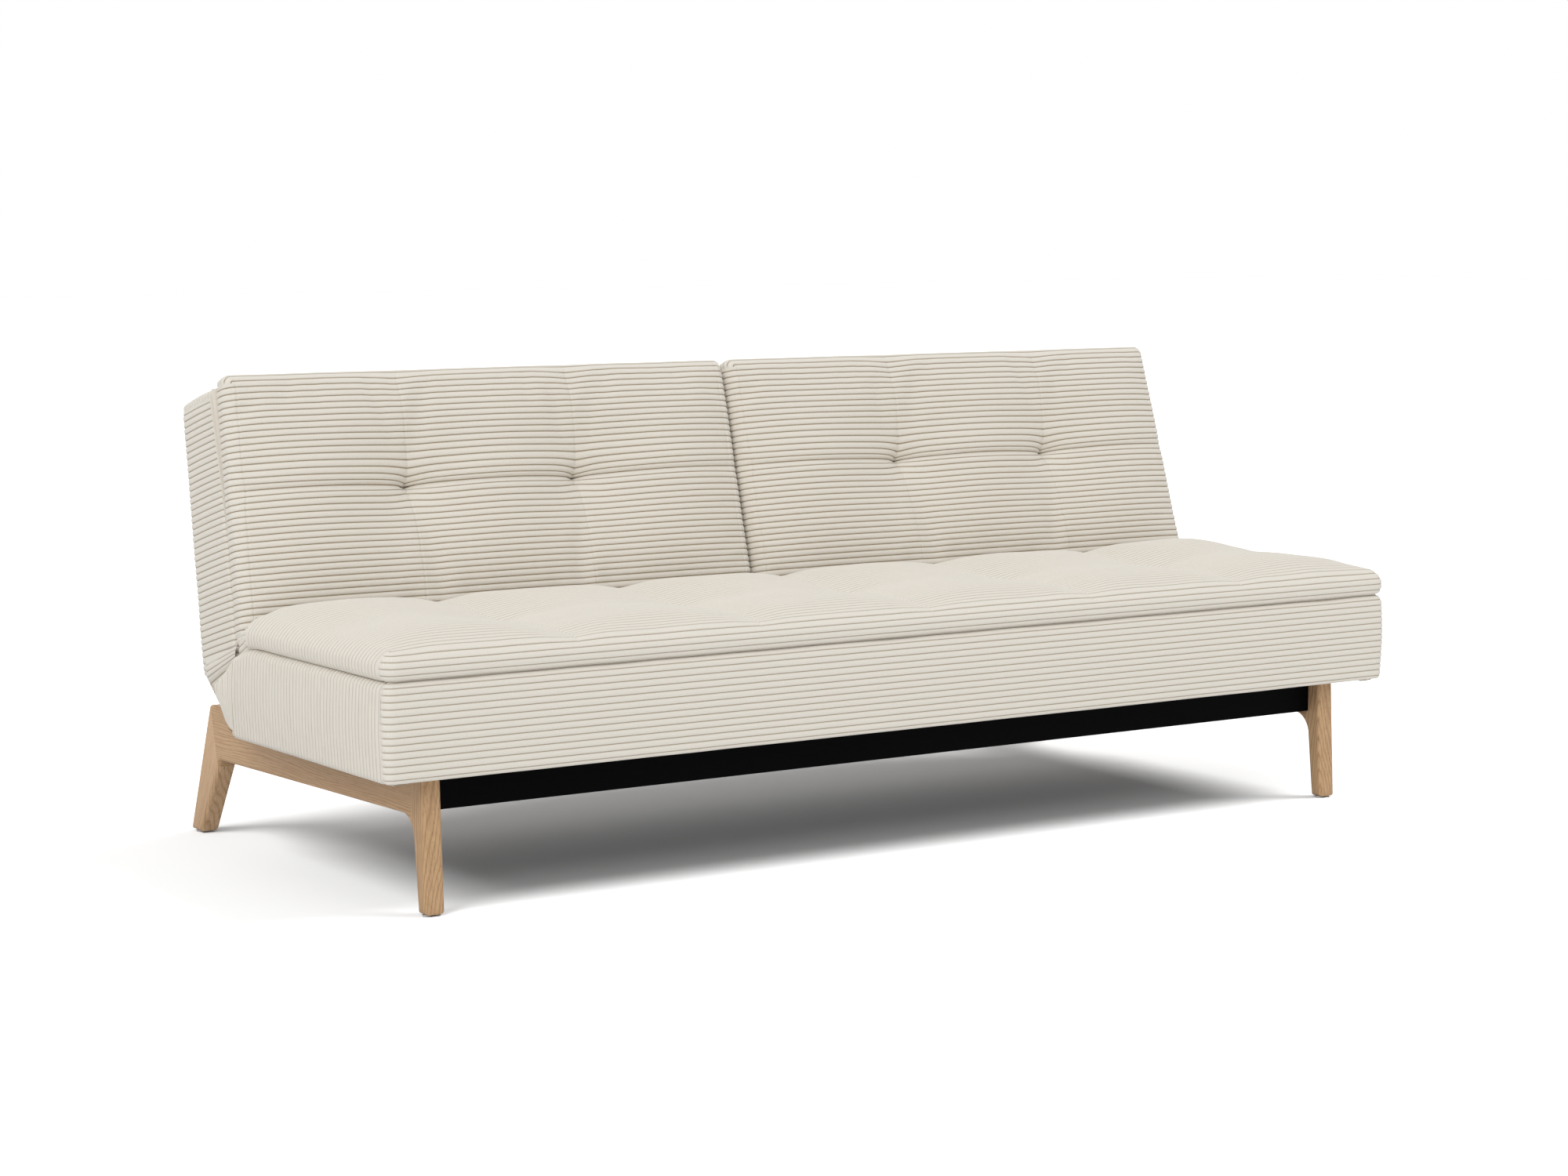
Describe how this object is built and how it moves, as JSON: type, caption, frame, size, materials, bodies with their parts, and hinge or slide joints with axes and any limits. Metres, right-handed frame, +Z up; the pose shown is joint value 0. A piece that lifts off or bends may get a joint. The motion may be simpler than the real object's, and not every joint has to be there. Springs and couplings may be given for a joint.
{
  "type": "sofa bed",
  "caption": "Armless corduroy sofa bed on oak leg frames: a tufted seat pad on an upholstered base, and separate tufted back halves that recline flat on ratchet hinges",
  "frame": {"origin": "on the floor, under the middle of the whole sofa bed with its backs upright", "axes": "+X along the sofa, to the right as seen from the front, +Y to the back, +Z up"},
  "size_m": [2, 0.8871, 0.7875],
  "materials": {
    "oak": "oiled",
    "corduroy": "wide-wale corduroy",
    "black_steel": "satin",
    "frame_steel": "matte",
    "spring_steel": "bare",
    "zinc_steel": "plated",
    "glide_plastic": "matte",
    "black_cloth": "non-woven"
  },
  "bodies": {
    "base": {"beam_end_plates": "black_steel", "foot_glides": "glide_plastic", "front_cross_beam": "black_steel", "hinge_pins": "zinc_steel", "left_front_leg": "oak", "left_hinge_gusset": "corduroy", "left_inner_seat_bracket": "zinc_steel", "left_outer_seat_bracket": "zinc_steel", "left_pawl_springs": "spring_steel", "left_rear_leg": "oak", "left_seat_end_tube": "frame_steel", "left_seat_inner_tube": "frame_steel", "left_side_rail": "oak", "leg_bolts": "zinc_steel", "rear_cross_beam": "black_steel", "right_front_leg": "oak", "right_hinge_gusset": "corduroy", "right_inner_seat_bracket": "zinc_steel", "right_outer_seat_bracket": "zinc_steel", "right_pawl_springs": "spring_steel", "right_rear_leg": "oak", "right_seat_end_tube": "frame_steel", "right_seat_inner_tube": "frame_steel", "right_side_rail": "oak", "seat_base_cushion": "corduroy", "seat_bracket_bolts": "zinc_steel", "seat_front_tube": "frame_steel", "seat_pad": "corduroy", "seat_rear_tube": "frame_steel", "seat_spring_clips": "zinc_steel", "seat_springs": "spring_steel", "underseat_cloth": "black_cloth"},
    "left_back": {"left_back_bracket_bolts": "zinc_steel", "left_back_cushion": "corduroy", "left_back_inner_tube": "frame_steel", "left_back_lower_tube": "frame_steel", "left_back_outer_tube": "frame_steel", "left_back_pad": "corduroy", "left_back_rear_cover": "corduroy", "left_back_spring_clips": "zinc_steel", "left_back_springs": "spring_steel", "left_back_upper_tube": "frame_steel", "left_inner_back_bracket": "zinc_steel", "left_outer_back_bracket": "zinc_steel"},
    "right_back": {"right_back_bracket_bolts": "zinc_steel", "right_back_cushion": "corduroy", "right_back_inner_tube": "frame_steel", "right_back_lower_tube": "frame_steel", "right_back_outer_tube": "frame_steel", "right_back_pad": "corduroy", "right_back_rear_cover": "corduroy", "right_back_spring_clips": "zinc_steel", "right_back_springs": "spring_steel", "right_back_upper_tube": "frame_steel", "right_inner_back_bracket": "zinc_steel", "right_outer_back_bracket": "zinc_steel"}
  },
  "joints": [
    {"name": "left_back_recline", "type": "hinge", "parent": "base", "child": "left_back", "pos_m": [0, 0.136, 0.34], "axis": [-1, 0, 0], "range_deg": [-5, 75], "deforming": ["left_hinge_gusset", "left_pawl_springs"]},
    {"name": "right_back_recline", "type": "hinge", "parent": "base", "child": "right_back", "pos_m": [0, 0.136, 0.34], "axis": [-1, 0, 0], "range_deg": [-5, 75], "deforming": ["right_hinge_gusset", "right_pawl_springs"]}
  ]
}
